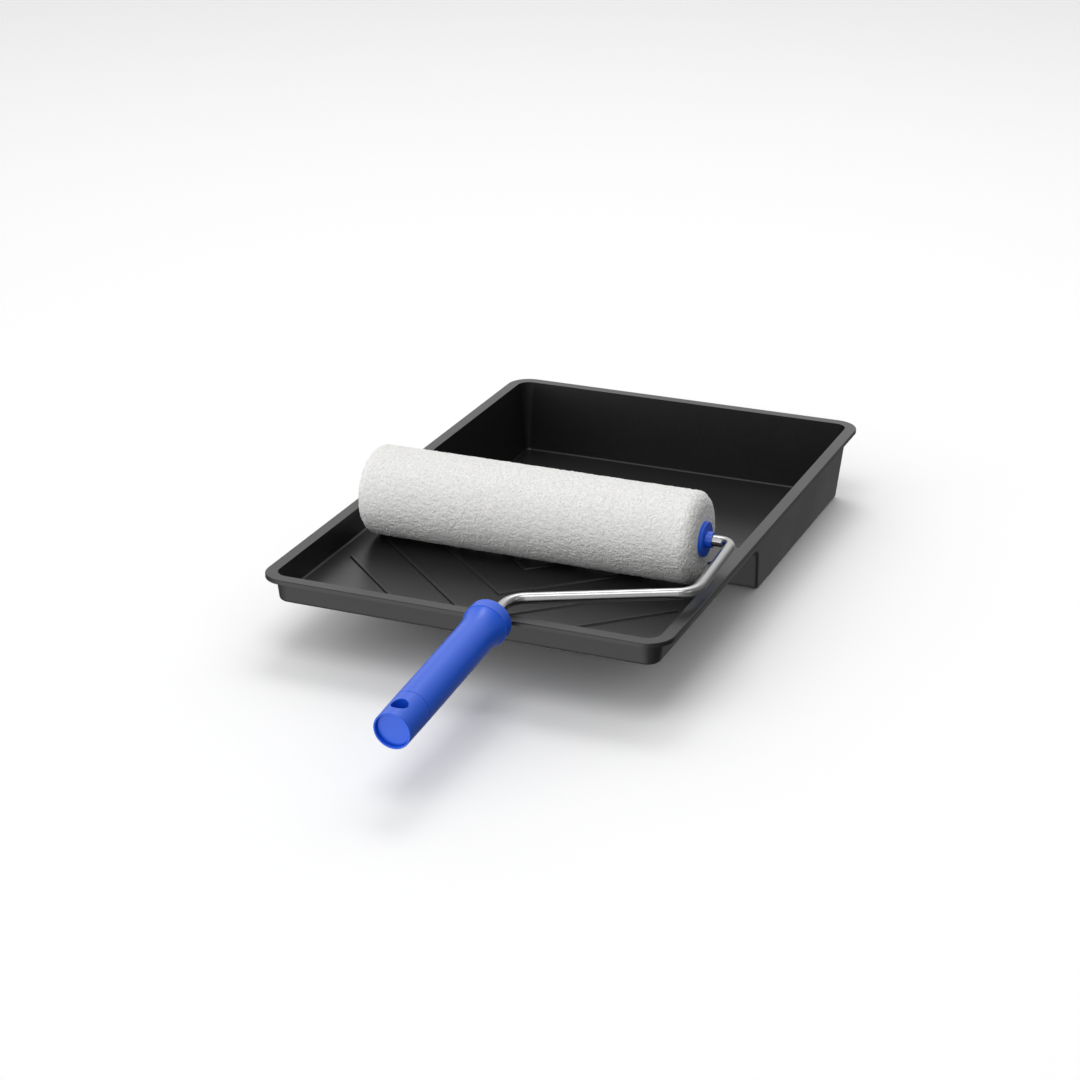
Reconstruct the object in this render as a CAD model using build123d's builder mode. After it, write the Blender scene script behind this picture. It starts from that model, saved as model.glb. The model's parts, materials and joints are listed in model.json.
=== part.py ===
"""Paint roller tray with its roller.

Frame: X across the tray (+X to the right seen from the shallow end), +Y towards the deep end, +Z up.
Origin: middle of the well's flat base, on the surface that the tray stands on. Millimetres.
"""
import os
from math import atan, cos, degrees, radians, tan

from build123d import *

# ---- tray -------------------------------------------------------------------------------------
RIM_WIDTH = 270.0
RIM_LENGTH = 414.0
RIM_CORNER_R = 17.0
FRONT_Y = -309.0         # front edge of the rim; the distances "from the front" start here
LIP_WIDTH = 8.0          # flat top of the rim, outer edge to cavity
LIP_THICK = 1.6
FLANGE_DROP = 2.8        # turned-down outer edge, measured from the rim top
FLANGE_THICK = 1.5
LIP_EDGE_R = 0.7
WALL = 1.6
DRAFT = 6.7              # degrees, all walls lean in towards the floor
SHELF_DEPTH = 16.8       # rim top to shelf floor
WELL_DEPTH = 51.9        # rim top to well floor
STEP_AT = 203.0          # from the front to where the step leaves the shelf floor
STEP_LEAN = 21.0         # degrees from vertical
STEP_TOP_R = 11.0
STEP_FOOT_R = 5.0
FLOOR_FILLET = 1.6       # inside the cavity
UNDER_FILLET = 2.2       # outside, around the floor

RIB_PITCH = 43.0         # between chevrons, along Y
RIB_ROWS = 5
RIB_FIRST_APEX = -17.4   # from the front to the virtual apex of the first chevron
RIB_ANGLE = 43.0         # degrees between an arm and the X axis
RIB_REACH = 112.0        # |X| where the arms stop
RIB_WIDTH = 3.4
RIB_HEIGHT = 1.1
RIB_FLANK = 32.0         # degrees
RIB_CREST_R = 0.5
RIB_FRONT_GAP = 4.0      # front end of a rib to the cavity wall at the rim
RIB_BACK_GAP = 13.0      # back end of a rib to the step

FOOT_X = 72.0
FOOT_AT = 102.0          # from the front
FOOT_R = 10.0
FOOT_WALL = 1.8
FOOT_DRAFT = 3.0

# ---- roller -----------------------------------------------------------------------------------
AXLE_AT = 131.8          # from the front
ROD_R = 3.6
SLEEVE_R = 29.7
SLEEVE_LEFT = -117.4
SLEEVE_RIGHT = 112.3
SLEEVE_EDGE_R = 7.5
COVER_END = 4.0          # cover thickness over the sleeve ends
CORE_R = 22.0
CORE_BORE_R = 20.0
REST_GAP = 0.3           # sleeve over ribs, rod over rim
RUNNING_GAP = 0.05       # radial clearance of the bushes on the axle

PLUG_LENGTH = 12.0
PLUG_FLANGE = 1.5
PLUG_RIM = 1.6
PLUG_WEB = 3.0
PLUG_HUB_R = 9.0

BUSH_R = 6.0
BUSH_FLANGE_R = 11.3
BUSH_FLANGE = 2.6
BUSH_FLANGE_ROUND = 0.8
HUB_BASE_R = 5.5
HUB_TIP_R = 5.0
HUB_RIGHT = 3.8          # hub beyond the flange
HUB_LEFT = 0.8
COVER_BORE_GAP = 0.2

STOP_R = 5.4
STOP_LENGTH = 3.0
END_PLAY = 0.2           # of the sleeve between stop ring and washer, at each end

WASHER_R = 6.6
WASHER = 0.8
NUT_R = 7.0
NUT = 1.8
NUT_COLLAR_R = 5.0
AXLE_TAIL = 0.6          # axle beyond the push nut

ARM_X = 131.5
ARM_LENGTH = 70.4        # axle to the corner where the run starts
RUN_DROP = 43.7          # run's corner to the handle's corner, along the handle
BEND_AXLE_R = 7.0
BEND_ARM_R = 15.0
BEND_HANDLE_R = 15.0

# ---- handle, distances measured along it from the collar's front face ----------------------------
HANDLE_X = 28.2
COLLAR_FRONT = 9.1       # front of the rim to the collar
COLLAR_R = 14.1
COLLAR_LENGTH = 9.6
COLLAR_EDGE_R = 2.0
FLARE_R = 13.8           # grip where it meets the collar
FLARE_END = 27.0
FLARE_LEAN = 0.32        # slope of the flare where it leaves the collar
GRIP_END = 111.3
HANDLE_LENGTH = 136.5
GRIP_FRONT_R = 11.85
GRIP_BACK_R = 11.65
HANDLE_END_R = 11.4
GRIP_BORE_R = 9.0
SPIGOT_END = 39.0        # collar's spigot inside the grip
HANGER_SPIGOT = 8.0
TANG_END = 85.0
SEAM = 0.35              # chamfer at each seam of the handle
HANG_HOLE_R = 5.1
HANG_HOLE_AT = 124.8
END_WALL = 1.2
END_RECESS = 2.5
END_DISC = 2.0
END_EDGE_R = 0.5

# ---- derived ------------------------------------------------------------------------------------
RIM_Z = WELL_DEPTH + WALL
SHELF_Z = RIM_Z - SHELF_DEPTH
FLOOR_Z = RIM_Z - WELL_DEPTH
RIM_CENTRE_Y = FRONT_Y + RIM_LENGTH / 2
STEP_Y = FRONT_Y + STEP_AT
AXLE_Y = FRONT_Y + AXLE_AT
AXLE_Z = SHELF_Z + RIB_HEIGHT + REST_GAP + SLEEVE_R
ROD_OVER_RIM_Z = RIM_Z + ROD_R + REST_GAP
FRAME_SLOPE = (AXLE_Z - ROD_OVER_RIM_Z) / (AXLE_Y - FRONT_Y)
FRAME_TILT = degrees(atan(FRAME_SLOPE))
BUSH_DEPTH = COVER_END + PLUG_LENGTH
WASHER_X = SLEEVE_LEFT - BUSH_FLANGE - HUB_LEFT - END_PLAY
AXLE_END_X = WASHER_X - WASHER - NUT - AXLE_TAIL

rim_plane = Plane(origin=(0, RIM_CENTRE_Y, RIM_Z))
# plane of the bent wire: local x along the axle, local y up the handle towards the axle
frame_plane = Plane(
    origin=(0, AXLE_Y, AXLE_Z), x_dir=(1, 0, 0), z_dir=(0, -FRAME_SLOPE, 1)
)
HANDLE_START = -(AXLE_Y - FRONT_Y + COLLAR_FRONT) / cos(radians(FRAME_TILT))
handle_start = frame_plane.from_local_coords(Vector(HANDLE_X, HANDLE_START, 0))
handle_line = Axis(handle_start, -frame_plane.y_dir)
# half-sections: local x along the part's axis, local y away from it
handle_section = Plane(origin=handle_start, x_dir=-frame_plane.y_dir, z_dir=(1, 0, 0))
axle_section = Plane(origin=(0, AXLE_Y, AXLE_Z), x_dir=(1, 0, 0), z_dir=(0, -1, 0))
axle_line = Axis((0, AXLE_Y, AXLE_Z), (1, 0, 0))


def wall_outline(margin):
    """Outline of the walls at the rim plane, `margin` out from the cavity."""
    inset = LIP_WIDTH - margin
    with BuildSketch(rim_plane) as outline:
        RectangleRounded(RIM_WIDTH - 2 * inset, RIM_LENGTH - 2 * inset, RIM_CORNER_R - inset)
    return outline.sketch


def stepped_section(skin):
    """Side view of all that lies above the shelf, the step and the well floor, lowered by `skin`."""
    lean = radians(STEP_LEAN)
    shelf_z = SHELF_Z - skin
    floor_z = FLOOR_Z - skin
    # the sloping face moves out square to itself
    top_y = STEP_Y - skin / cos(lean) + skin * tan(lean)
    foot_y = top_y + (shelf_z - floor_z) * tan(lean)
    with BuildSketch(Plane.YZ) as section:
        with BuildLine():
            under = FilletPolyline(
                (-RIM_LENGTH, shelf_z),
                (top_y, shelf_z),
                (foot_y, floor_z),
                (RIM_LENGTH, floor_z),
                radius=[STEP_TOP_R - skin, STEP_FOOT_R + skin],
            )
            Polyline(under @ 1, (RIM_LENGTH, 2 * RIM_Z), (-RIM_LENGTH, 2 * RIM_Z), under @ 0)
        make_face()
    return section.sketch


# cavity of the tray: what paint and roller occupy
with BuildPart() as cavity:
    extrude(wall_outline(0), amount=-(RIM_Z + 1), taper=DRAFT)
    extrude(stepped_section(0), amount=RIM_WIDTH, both=True, mode=Mode.INTERSECT)
    floor_edges = cavity.edges().filter_by(lambda e: e.center().Z < SHELF_Z + LIP_EDGE_R)
    fillet(floor_edges, FLOOR_FILLET)

# chevron ribs of the shelf
with BuildPart() as ribs:
    with BuildSketch(Plane.XY.offset(SHELF_Z)):
        for row in range(RIB_ROWS):
            apex_y = FRONT_Y + RIB_FIRST_APEX + row * RIB_PITCH
            end_y = apex_y + RIB_REACH * tan(radians(RIB_ANGLE))
            with BuildLine():
                Polyline((-RIB_REACH, end_y), (0, apex_y), (RIB_REACH, end_y))
            trace(line_width=RIB_WIDTH)
        front_y = FRONT_Y + LIP_WIDTH + RIB_FRONT_GAP
        back_y = STEP_Y - RIB_BACK_GAP
        with Locations((0, (front_y + back_y) / 2)):
            Rectangle(RIM_WIDTH, back_y - front_y, mode=Mode.INTERSECT)
    extrude(amount=RIB_HEIGHT, taper=RIB_FLANK)
    fillet(ribs.faces().filter_by(Plane.XY).group_by(Axis.Z)[-1].edges(), RIB_CREST_R)

with BuildPart() as tray_shell:
    extrude(wall_outline(WALL), amount=-(RIM_Z + 1), taper=DRAFT)
    extrude(stepped_section(WALL), amount=RIM_WIDTH, both=True, mode=Mode.INTERSECT)
    under_edges = tray_shell.edges().filter_by(lambda e: e.center().Z < SHELF_Z)
    fillet(under_edges, UNDER_FILLET)
    with BuildSketch(rim_plane):
        RectangleRounded(RIM_WIDTH, RIM_LENGTH, RIM_CORNER_R)
    extrude(amount=-LIP_THICK)
    with BuildSketch(rim_plane):
        RectangleRounded(RIM_WIDTH, RIM_LENGTH, RIM_CORNER_R)
        offset(amount=-FLANGE_THICK, mode=Mode.SUBTRACT)
    extrude(amount=-FLANGE_DROP)
    fillet(tray_shell.faces().sort_by(Axis.Z)[-1].outer_wire().edges(), LIP_EDGE_R)
    # two hollow feet under the shelf
    feet = [(-FOOT_X, FRONT_Y + FOOT_AT), (FOOT_X, FRONT_Y + FOOT_AT)]
    with BuildSketch():
        with Locations(feet):
            Circle(FOOT_R)
    extrude(amount=SHELF_Z - WALL / 2, taper=-FOOT_DRAFT)
    with BuildSketch():
        with Locations(feet):
            Circle(FOOT_R - FOOT_WALL)
    extrude(amount=SHELF_Z - 2 * WALL, taper=-FOOT_DRAFT, mode=Mode.SUBTRACT)
    add(cavity.part, mode=Mode.SUBTRACT)
    add(ribs.part)

# ---- frame: bent wire and what is fixed on it ---------------------------------------------------
with BuildPart() as frame_rod:
    with BuildLine(frame_plane) as rod_path:
        FilletPolyline(
            (AXLE_END_X, 0),
            (ARM_X, 0),
            (ARM_X, -ARM_LENGTH),
            (HANDLE_X, -(ARM_LENGTH + RUN_DROP)),
            (HANDLE_X, HANDLE_START - TANG_END),
            radius=[BEND_AXLE_R, BEND_ARM_R, BEND_HANDLE_R],
        )
    with BuildSketch(Plane(origin=rod_path.line @ 0, z_dir=rod_path.line % 0)):
        Circle(ROD_R)
    sweep()
    chamfer(frame_rod.faces().sort_by(Axis.X)[0].edges(), ROD_R / 4)

# ring pressed on the axle inside the sleeve; the right bush runs against it
with BuildPart() as axle_stop_ring:
    stop_x = SLEEVE_RIGHT - BUSH_DEPTH - END_PLAY
    with BuildSketch(axle_section):
        with Locations((stop_x, ROD_R)):
            Rectangle(STOP_LENGTH, STOP_R - ROD_R, align=(Align.MAX, Align.MIN))
    revolve(axis=axle_line)

with BuildPart() as axle_washer:
    with BuildSketch(axle_section):
        with Locations((WASHER_X, ROD_R + RUNNING_GAP)):
            Rectangle(WASHER, WASHER_R - ROD_R, align=(Align.MAX, Align.MIN))
    revolve(axis=axle_line)
    fillet(axle_washer.edges().filter_by(GeomType.CIRCLE).sort_by(SortBy.RADIUS)[-2:], WASHER / 4)

# dished nut with a short collar that bites on the axle
with BuildPart() as axle_push_nut:
    nut_x = WASHER_X - WASHER
    with BuildSketch(axle_section):
        with BuildLine():
            Polyline(
                (nut_x, ROD_R),
                (nut_x - NUT, ROD_R),
                (nut_x - NUT, NUT_COLLAR_R),
                (nut_x - NUT / 2, NUT_COLLAR_R + NUT / 2),
                (nut_x - NUT / 2, NUT_R),
                (nut_x, NUT_R),
                close=True,
            )
        make_face()
    revolve(axis=axle_line)

# ---- handle -------------------------------------------------------------------------------------
# ring at the front with a spigot that fills the mouth of the grip
with BuildPart() as handle_collar:
    with BuildSketch(handle_section):
        with BuildLine():
            Polyline(
                (0, ROD_R),
                (0, COLLAR_R),
                (COLLAR_LENGTH - SEAM, COLLAR_R),
                (COLLAR_LENGTH, COLLAR_R - SEAM),
                (COLLAR_LENGTH, GRIP_BORE_R),
                (SPIGOT_END, GRIP_BORE_R),
                (SPIGOT_END, ROD_R),
                close=True,
            )
        make_face()
    revolve(axis=handle_line)
    front_edges = handle_collar.faces().sort_by(handle_line)[0].edges()
    fillet(front_edges.sort_by(SortBy.RADIUS)[-1], COLLAR_EDGE_R)

# flare behind the collar, then a slightly tapered tube
with BuildPart() as handle_grip:
    with BuildSketch(handle_section):
        with BuildLine():
            Polyline(
                (FLARE_END, GRIP_FRONT_R),
                (GRIP_END - SEAM, GRIP_BACK_R),
                (GRIP_END, GRIP_BACK_R - SEAM),
                (GRIP_END, GRIP_BORE_R),
                (COLLAR_LENGTH, GRIP_BORE_R),
                (COLLAR_LENGTH, FLARE_R - SEAM),
                (COLLAR_LENGTH + SEAM, FLARE_R),
            )
            Spline(
                (COLLAR_LENGTH + SEAM, FLARE_R),
                (FLARE_END, GRIP_FRONT_R),
                tangents=[(1, -FLARE_LEAN), (1, 0)],
            )
        make_face()
    revolve(axis=handle_line)

# liner that holds the wire's tang between the two spigots; the tang stops short of its far end
with BuildPart() as handle_core:
    core_end = GRIP_END - HANGER_SPIGOT
    with BuildSketch(handle_section):
        with BuildLine():
            Polyline(
                (SPIGOT_END, ROD_R),
                (SPIGOT_END, GRIP_BORE_R),
                (core_end, GRIP_BORE_R),
                (core_end, 0),
                (TANG_END, 0),
                (TANG_END, ROD_R),
                close=True,
            )
        make_face()
    revolve(axis=handle_line)

# solid end section: spigot into the grip, hole for hanging, shallow cup at the end
with BuildPart() as handle_hanger:
    cup_r = HANDLE_END_R - END_WALL
    cup_floor = HANDLE_LENGTH - END_RECESS - END_DISC
    with BuildSketch(handle_section):
        with BuildLine():
            Polyline(
                (GRIP_END - HANGER_SPIGOT, 0),
                (GRIP_END - HANGER_SPIGOT, GRIP_BORE_R),
                (GRIP_END, GRIP_BORE_R),
                (GRIP_END, GRIP_BACK_R - SEAM),
                (GRIP_END + SEAM, GRIP_BACK_R),
                (HANDLE_LENGTH, HANDLE_END_R),
                (HANDLE_LENGTH, cup_r),
                (cup_floor, cup_r),
                (cup_floor, 0),
                close=True,
            )
        make_face()
    revolve(axis=handle_line)
    with BuildSketch(frame_plane):
        with Locations((HANDLE_X, HANDLE_START - HANG_HOLE_AT)):
            Circle(HANG_HOLE_R)
    extrude(amount=2 * HANDLE_END_R, both=True, mode=Mode.SUBTRACT)
    fillet(handle_hanger.faces().sort_by(handle_line)[-1].edges(), END_EDGE_R)

with BuildPart() as handle_end_disc:
    with BuildSketch(handle_section):
        with Locations((cup_floor, 0)):
            Rectangle(END_DISC, cup_r, align=(Align.MIN, Align.MIN))
    revolve(axis=handle_line)
    chamfer(handle_end_disc.faces().sort_by(handle_line)[-1].edges(), SEAM)

# ---- sleeve: everything that turns on the axle --------------------------------------------------
TUBE_LEFT = SLEEVE_LEFT + COVER_END + PLUG_FLANGE
TUBE_RIGHT = SLEEVE_RIGHT - COVER_END - PLUG_FLANGE

with BuildPart() as sleeve_core:
    with BuildSketch(axle_section):
        with Locations((TUBE_LEFT, CORE_BORE_R)):
            Rectangle(TUBE_RIGHT - TUBE_LEFT, CORE_R - CORE_BORE_R, align=(Align.MIN, Align.MIN))
    revolve(axis=axle_line)

with BuildPart() as sleeve_cover:
    cover_bore_r = BUSH_R + COVER_BORE_GAP
    with BuildSketch(axle_section):
        with BuildLine():
            Polyline(
                (SLEEVE_LEFT, cover_bore_r),
                (SLEEVE_LEFT, SLEEVE_R),
                (SLEEVE_RIGHT, SLEEVE_R),
                (SLEEVE_RIGHT, cover_bore_r),
                (SLEEVE_RIGHT - COVER_END, cover_bore_r),
                (SLEEVE_RIGHT - COVER_END, CORE_R),
                (SLEEVE_LEFT + COVER_END, CORE_R),
                (SLEEVE_LEFT + COVER_END, cover_bore_r),
                close=True,
            )
        make_face()
    revolve(axis=axle_line)
    round_edges = sleeve_cover.edges().filter_by(GeomType.CIRCLE).sort_by(SortBy.RADIUS)[-2:]
    fillet(round_edges, SLEEVE_EDGE_R)


def plug_section(end_x, inward):
    """Half-section of a webbed plug whose flange covers the tube's end; `inward` is +1 or -1 along X."""
    with BuildSketch(axle_section) as section:
        flange_x = end_x + inward * PLUG_FLANGE
        inner_x = end_x + inward * PLUG_LENGTH
        web_x = end_x + inward * PLUG_WEB
        with BuildLine():
            Polyline(
                (end_x, BUSH_R),
                (end_x, CORE_R),
                (flange_x, CORE_R),
                (flange_x, CORE_BORE_R),
                (inner_x, CORE_BORE_R),
                (inner_x, CORE_BORE_R - PLUG_RIM),
                (web_x, CORE_BORE_R - PLUG_RIM),
                (web_x, PLUG_HUB_R),
                (inner_x, PLUG_HUB_R),
                (inner_x, BUSH_R),
                close=True,
            )
        make_face()
    return section.sketch


with BuildPart() as core_plug_right:
    revolve(plug_section(SLEEVE_RIGHT - COVER_END, -1), axis=axle_line)

with BuildPart() as core_plug_left:
    revolve(plug_section(SLEEVE_LEFT + COVER_END, 1), axis=axle_line)


def bush_section(end_x, outward, hub_length):
    """Half-section of a flanged bush on the sleeve's end; `outward` is +1 or -1 along X."""
    bore_r = ROD_R + RUNNING_GAP
    inner_x = end_x - outward * BUSH_DEPTH
    flange_x = end_x + outward * BUSH_FLANGE
    tip_x = flange_x + outward * hub_length
    with BuildSketch(axle_section) as section:
        with BuildLine():
            Polyline(
                (inner_x, bore_r),
                (inner_x, BUSH_R),
                (end_x, BUSH_R),
                (end_x, BUSH_FLANGE_R),
                (flange_x, BUSH_FLANGE_R),
                (flange_x, HUB_BASE_R),
                (tip_x, HUB_TIP_R),
                (tip_x, bore_r),
                close=True,
            )
        make_face()
        flange_rim = section.vertices().group_by(Axis.Y)[-1].sort_by(Axis.X)
        fillet(flange_rim[-1] if outward > 0 else flange_rim[0], BUSH_FLANGE_ROUND)
    return section.sketch


with BuildPart() as bearing_bush_right:
    revolve(bush_section(SLEEVE_RIGHT, 1, HUB_RIGHT), axis=axle_line)

with BuildPart() as bearing_bush_left:
    revolve(bush_section(SLEEVE_LEFT, -1, HUB_LEFT), axis=axle_line)

# ---- files ----------------------------------------------------------------------------------------
pieces = {
    "tray_shell": tray_shell,
    "frame_rod": frame_rod,
    "axle_stop_ring": axle_stop_ring,
    "axle_washer": axle_washer,
    "axle_push_nut": axle_push_nut,
    "handle_collar": handle_collar,
    "handle_grip": handle_grip,
    "handle_core": handle_core,
    "handle_hanger": handle_hanger,
    "handle_end_disc": handle_end_disc,
    "sleeve_core": sleeve_core,
    "sleeve_cover": sleeve_cover,
    "core_plug_right": core_plug_right,
    "core_plug_left": core_plug_left,
    "bearing_bush_right": bearing_bush_right,
    "bearing_bush_left": bearing_bush_left,
}
os.makedirs("parts", exist_ok=True)
for name, piece in pieces.items():
    piece.part.label = name
    export_step(piece.part, f"parts/{name}.step")
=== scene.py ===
"""Looks of the paint roller tray and its roller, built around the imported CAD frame."""
import json
from math import cos, pi, radians, sin

import bpy
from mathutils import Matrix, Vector, noise


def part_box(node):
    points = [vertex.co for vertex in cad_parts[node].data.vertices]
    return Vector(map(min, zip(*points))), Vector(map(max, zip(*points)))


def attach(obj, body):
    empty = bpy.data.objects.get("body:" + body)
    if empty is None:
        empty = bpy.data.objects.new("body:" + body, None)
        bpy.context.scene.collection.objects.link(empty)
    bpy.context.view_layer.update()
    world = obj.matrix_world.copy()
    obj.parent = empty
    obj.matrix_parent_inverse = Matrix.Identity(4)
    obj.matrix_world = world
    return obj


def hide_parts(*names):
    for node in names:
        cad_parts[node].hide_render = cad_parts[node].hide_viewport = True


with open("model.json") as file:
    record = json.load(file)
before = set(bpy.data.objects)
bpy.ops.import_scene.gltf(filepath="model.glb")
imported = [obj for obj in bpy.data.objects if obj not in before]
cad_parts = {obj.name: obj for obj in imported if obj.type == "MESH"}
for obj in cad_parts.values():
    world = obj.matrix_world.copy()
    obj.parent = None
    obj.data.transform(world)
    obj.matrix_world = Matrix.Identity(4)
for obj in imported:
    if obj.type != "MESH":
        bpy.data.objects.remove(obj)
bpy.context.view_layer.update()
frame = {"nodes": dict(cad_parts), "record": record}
nodes = frame["nodes"]

# ---- camera -------------------------------------------------------------------------------------
CAMERA_PLACE = (0.5854, -1.5811, 0.6816)
CAMERA_TURN = 22.59          # degrees about Z from looking along +Y
CAMERA_DOWN = 22.58          # degrees below the horizon
CAMERA_LENS = 85.07          # on a 36 mm square sensor


def make_camera():
    data = bpy.data.cameras.new("camera")
    data.lens = CAMERA_LENS
    data.sensor_width = 36.0
    camera = bpy.data.objects.new("camera", data)
    camera.location = CAMERA_PLACE
    camera.rotation_euler = (radians(90 - CAMERA_DOWN), 0, radians(CAMERA_TURN))
    bpy.context.scene.collection.objects.link(camera)
    bpy.context.scene.camera = camera


# ---- materials ----------------------------------------------------------------------------------
class Shader:
    """A Principled material with short calls for its nodes."""

    def __init__(self, name, **settings):
        self.material = bpy.data.materials.new(name)
        self.material.use_nodes = True
        self.nodes = self.material.node_tree.nodes
        self.links = self.material.node_tree.links
        self.shader = self.nodes["Principled BSDF"]
        for socket, value in settings.items():
            self.shader.inputs[socket.replace("_", " ")].default_value = value

    def node(self, kind, inputs=None, **settings):
        made = self.nodes.new(kind)
        for name, value in settings.items():
            setattr(made, name, value)
        for name, value in (inputs or {}).items():
            if isinstance(value, bpy.types.NodeSocket):
                self.links.new(value, made.inputs[name])
            else:
                made.inputs[name].default_value = value
        return made

    def place(self):
        """Object coordinates, in metres."""
        return self.node("ShaderNodeTexCoord").outputs["Object"]

    def noise(self, scale, detail=2.0, roughness=0.5):
        inputs = {"Vector": self.place(), "Scale": scale, "Detail": detail, "Roughness": roughness}
        return self.node("ShaderNodeTexNoise", inputs).outputs["Fac"]

    def span(self, value, low, high, low_in=0.0, high_in=1.0):
        inputs = {"Value": value, "From Min": low_in, "From Max": high_in, "To Min": low, "To Max": high}
        return self.node("ShaderNodeMapRange", inputs).outputs["Result"]

    def drive(self, socket, value):
        self.links.new(value, self.shader.inputs[socket])

    def bump(self, height, distance, strength=1.0):
        inputs = {"Height": height, "Distance": distance, "Strength": strength}
        self.drive("Normal", self.node("ShaderNodeBump", inputs).outputs["Normal"])


def tray_plastic():
    s = Shader("tray_plastic", Base_Color=(0.010, 0.010, 0.010, 1), Roughness=0.30)
    s.drive("Roughness", s.span(s.noise(14, 3), 0.27, 0.33, 0.3, 0.7))
    s.bump(s.noise(1500, 2), 0.00008)
    return s.material


def handle_plastic():
    s = Shader("handle_plastic", Base_Color=(0.010, 0.102, 0.70, 1), Roughness=0.33)
    s.drive("Roughness", s.span(s.noise(30, 2), 0.30, 0.36, 0.3, 0.7))
    return s.material


def frame_steel():
    s = Shader("frame_steel", Base_Color=(0.43, 0.43, 0.43, 1), Metallic=1.0, Roughness=0.22)
    s.drive("Roughness", s.span(s.noise(160, 3), 0.18, 0.27, 0.3, 0.7))
    s.bump(s.noise(900, 2), 0.00001)
    return s.material


def foam():
    s = Shader("foam", Roughness=0.95)
    pores = s.noise(860, 1, 0.5)
    # the colour is darker where the bump is low: painted shade in the pores, laid over the real bump
    pore_shade = s.node("ShaderNodeValToRGB", {"Fac": pores})
    pore_shade.color_ramp.elements[0].position = 0.32
    pore_shade.color_ramp.elements[0].color = (0.735, 0.73, 0.717, 1)
    pore_shade.color_ramp.elements[1].position = 0.58
    pore_shade.color_ramp.elements[1].color = (0.87, 0.864, 0.85, 1)
    s.drive("Base Color", pore_shade.outputs["Color"])
    s.bump(pores, 0.0009)
    return s.material


def tube_plastic():
    s = Shader("tube_plastic", Base_Color=(0.7, 0.7, 0.68, 1), Roughness=0.5)
    s.drive("Roughness", s.span(s.noise(60, 3), 0.44, 0.56, 0.3, 0.7))
    return s.material


MATERIALS = {
    "tray_plastic": tray_plastic(),
    "handle_plastic": handle_plastic(),
    "frame_steel": frame_steel(),
    "foam": foam(),
    "tube_plastic": tube_plastic(),
}


def paint_nodes():
    for part in frame["record"]["subparts"]:
        piece = nodes[part["node"]]
        for index in range(len(piece.material_slots)):
            piece.material_slots[index].material = MATERIALS[part["material_slot"]]


# ---- foam cover ---------------------------------------------------------------------------------
COVER_BORE = 0.0062          # radius where the bushes pass through
COVER_INNER = 0.022
COVER_END = 0.004            # thickness over the ends of the tube
END_DEPTH = 0.0078           # how far the rounding runs along the sleeve
END_DROP = 0.0098            # and how far it runs in towards the axle
GRAIN_STEP = 0.00058         # mesh spacing along the profile
AROUND = 324                 # points around the sleeve
PRESSED_R = 0.011            # the ends are pressed smooth under the bush flanges
PRESSED_FADE = 0.004
# wavelength and height of the foam's surface, from soft waves to fine crinkle
GRAIN = [(0.011, 0.00010), (0.0034, 0.00014), (0.0020, 0.00032), (0.0013, 0.00020)]


def cover_profile(left, right, radius):
    """(x, r, normal x, normal r) along the outside, from the left bore to the right bore."""
    half = (right - left) / 2
    middle = (left + right) / 2
    flat = radius - END_DROP
    side = []
    count = round((flat - COVER_BORE) / GRAIN_STEP)
    for i in range(count):
        side.append((half, COVER_BORE + (flat - COVER_BORE) * i / count, 1.0, 0.0))
    count = round(pi / 2 * END_DROP / GRAIN_STEP)
    for i in range(count):
        turn = pi / 2 * i / count
        x = half - END_DEPTH * (1 - cos(turn))
        r = flat + END_DROP * sin(turn)
        normal = Vector((cos(turn) / END_DEPTH, sin(turn) / END_DROP)).normalized()
        side.append((x, r, normal[0], normal[1]))
    run = half - END_DEPTH
    count = round(2 * run / GRAIN_STEP)
    barrel = [(-run + 2 * run * i / count, radius, 0.0, 1.0) for i in range(count)]
    left_side = [(-x, r, -nx, nr) for x, r, nx, nr in side]
    points = left_side + barrel + side[::-1]
    return [(middle + x, r, nx, nr) for x, r, nx, nr in points]


def grain_height(place):
    """Height of the foam's surface grain at a point on the smooth cover, in metres."""
    return sum(height * noise.noise(place / wave) for wave, height in GRAIN)


def foam_cover():
    low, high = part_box("sleeve_cover")
    axle_y, axle_z = (low[1] + high[1]) / 2, (low[2] + high[2]) / 2
    rings = cover_profile(low[0], high[0], (high[2] - low[2]) / 2)
    for x, r in (
        (high[0] - COVER_END, COVER_BORE),
        (high[0] - COVER_END, COVER_INNER),
        (low[0] + COVER_END, COVER_INNER),
        (low[0] + COVER_END, COVER_BORE),
    ):
        rings.append((x, r, 0.0, 0.0))
    points, faces = [], []
    for x, r, nx, nr in rings:
        for step in range(AROUND):
            turn = 2 * pi * step / AROUND
            out = Vector((0, cos(turn), sin(turn)))
            place = Vector((x, 0, 0)) + r * out
            if nx or nr:
                fade = min(1.0, max(0.0, (r - PRESSED_R) / PRESSED_FADE))
                place += grain_height(place) * fade * (Vector((nx, 0, 0)) + nr * out)
            points.append(place + Vector((0, axle_y, axle_z)))
    for ring in range(len(rings)):
        after = (ring + 1) % len(rings)
        for step in range(AROUND):
            beside = (step + 1) % AROUND
            near, far = ring * AROUND, after * AROUND
            faces.append((near + step, near + beside, far + beside, far + step))
    mesh = bpy.data.meshes.new("foam_sleeve")
    mesh.from_pydata(points, [], faces)
    mesh.shade_smooth()
    mesh.materials.append(MATERIALS["foam"])
    piece = bpy.data.objects.new("foam_sleeve", mesh)
    bpy.context.scene.collection.objects.link(piece)
    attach(piece, "roller")
    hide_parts("sleeve_cover")


# ---- studio -------------------------------------------------------------------------------------
FLOOR_SIZE = 40.0
FLOOR_DROP = 0.0002          # keeps the floor clear of the tray's flat base
LIT_POINT = (0.0, -0.15, 0.0)
# the strengths act on the background's own dark grey of 0.05, so 20 is as bright as 1 on white; they and
# the watts were fitted to the photo's brightness, rounded, and partly adjusted
WORLD_BASE = 2.2             # strength of the even grey all around
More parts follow.
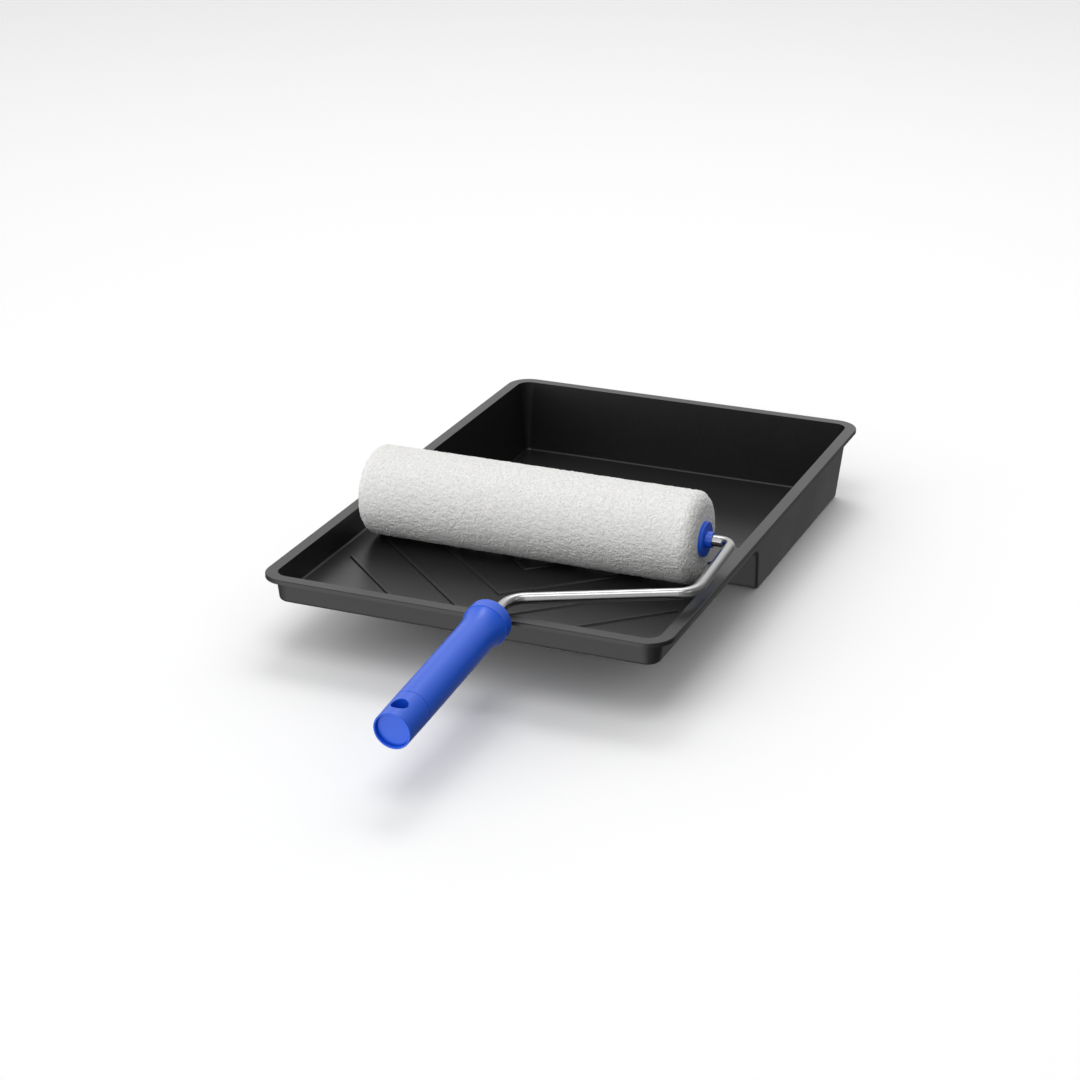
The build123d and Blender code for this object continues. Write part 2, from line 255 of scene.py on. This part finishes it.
# soft glows of the surroundings: direction, strength, cosines where each starts and is full
GLOWS = [
    ((0.0, 0.0, 1.0), 0.6, 0.30, 0.95),
    ((-0.38, 0.92, 0.2), 7.0, 0.45, 0.95),
    ((-0.3, 0.75, 0.75), 11.8, 0.45, 0.95),
    ((-0.92, -0.38, 0.3), 1.05, 0.45, 0.95),
    ((0.35, -0.85, 0.4), 1.05, 0.45, 0.95),
    ((-0.35, -0.85, 0.35), 20.5, 0.45, 0.95),
    ((0.35, -0.85, -0.5), 3.4, 0.45, 0.95),
    ((-0.45, -0.75, -0.5), 10.5, 0.45, 0.95),
    ((-0.354, -0.853, -0.384), 13.0, 0.80, 0.99),
    ((0.6, 0.5, 0.6), 3.7, 0.60, 0.97),
    ((0.73, -0.31, 0.61), 16.0, 0.968, 0.992),
]
# soft boxes: place, size, watts
SOFT_BOXES = [
    ((0.3, 0.9, 2.1), 1.0, 2.4),
    ((0.2, -0.9, 2.3), 1.2, 12.1),
    ((-0.5, 0.9, 2.2), 0.8, 8.5),
]


def make_floor():
    mesh = bpy.data.meshes.new("floor")
    half = FLOOR_SIZE / 2
    corners = [(-half, -half, 0), (half, -half, 0), (half, half, 0), (-half, half, 0)]
    mesh.from_pydata(corners, [], [(0, 1, 2, 3)])
    floor = bpy.data.objects.new("floor", mesh)
    floor.location.z = -FLOOR_DROP
    bpy.context.scene.collection.objects.link(floor)
    s = Shader("floor", Base_Color=(1.0, 1.0, 1.0, 1), Roughness=1.0)
    s.shader.inputs["Specular IOR Level"].default_value = 0.0
    mesh.materials.append(s.material)
    # the floor takes shadows but lets light from below reach the object, as on a light table
    floor.visible_diffuse = False
    floor.visible_glossy = False
    floor.visible_shadow = False


def soft_box(index, place, size, watts):
    data = bpy.data.lights.new(f"soft_box_{index}", "AREA")
    data.size = size
    data.energy = watts
    lamp = bpy.data.objects.new(data.name, data)
    lamp.location = place
    lamp.rotation_mode = "QUATERNION"
    lamp.rotation_quaternion = (Vector(LIT_POINT) - Vector(place)).to_track_quat("-Z", "Y")
    bpy.context.scene.collection.objects.link(lamp)


def make_world():
    world = bpy.data.worlds.new("studio")
    world.use_nodes = True
    tree = world.node_tree
    direction = tree.nodes.new("ShaderNodeTexCoord").outputs["Generated"]
    total = None
    for axis, strength, start, full in GLOWS:
        dot = tree.nodes.new("ShaderNodeVectorMath")
        dot.operation = "DOT_PRODUCT"
        tree.links.new(direction, dot.inputs[0])
        dot.inputs[1].default_value = Vector(axis).normalized()
        ramp = tree.nodes.new("ShaderNodeMapRange")
        ramp.interpolation_type = "SMOOTHSTEP"
        tree.links.new(dot.outputs["Value"], ramp.inputs["Value"])
        ramp.inputs["From Min"].default_value = start
        ramp.inputs["From Max"].default_value = full
        ramp.inputs["To Max"].default_value = strength
        if total is None:
            ramp.inputs["To Min"].default_value = WORLD_BASE
            ramp.inputs["To Max"].default_value = WORLD_BASE + strength
            total = ramp.outputs["Result"]
        else:
            add = tree.nodes.new("ShaderNodeMath")
            tree.links.new(total, add.inputs[0])
            tree.links.new(ramp.outputs["Result"], add.inputs[1])
            total = add.outputs["Value"]
    tree.links.new(total, tree.nodes["Background"].inputs["Strength"])
    bpy.context.scene.world = world


def make_studio():
    make_world()
    for index, (place, size, watts) in enumerate(SOFT_BOXES):
        soft_box(index, place, size, watts)
    bpy.context.scene.view_settings.view_transform = "Standard"


make_camera()
make_floor()
make_studio()
paint_nodes()
foam_cover()
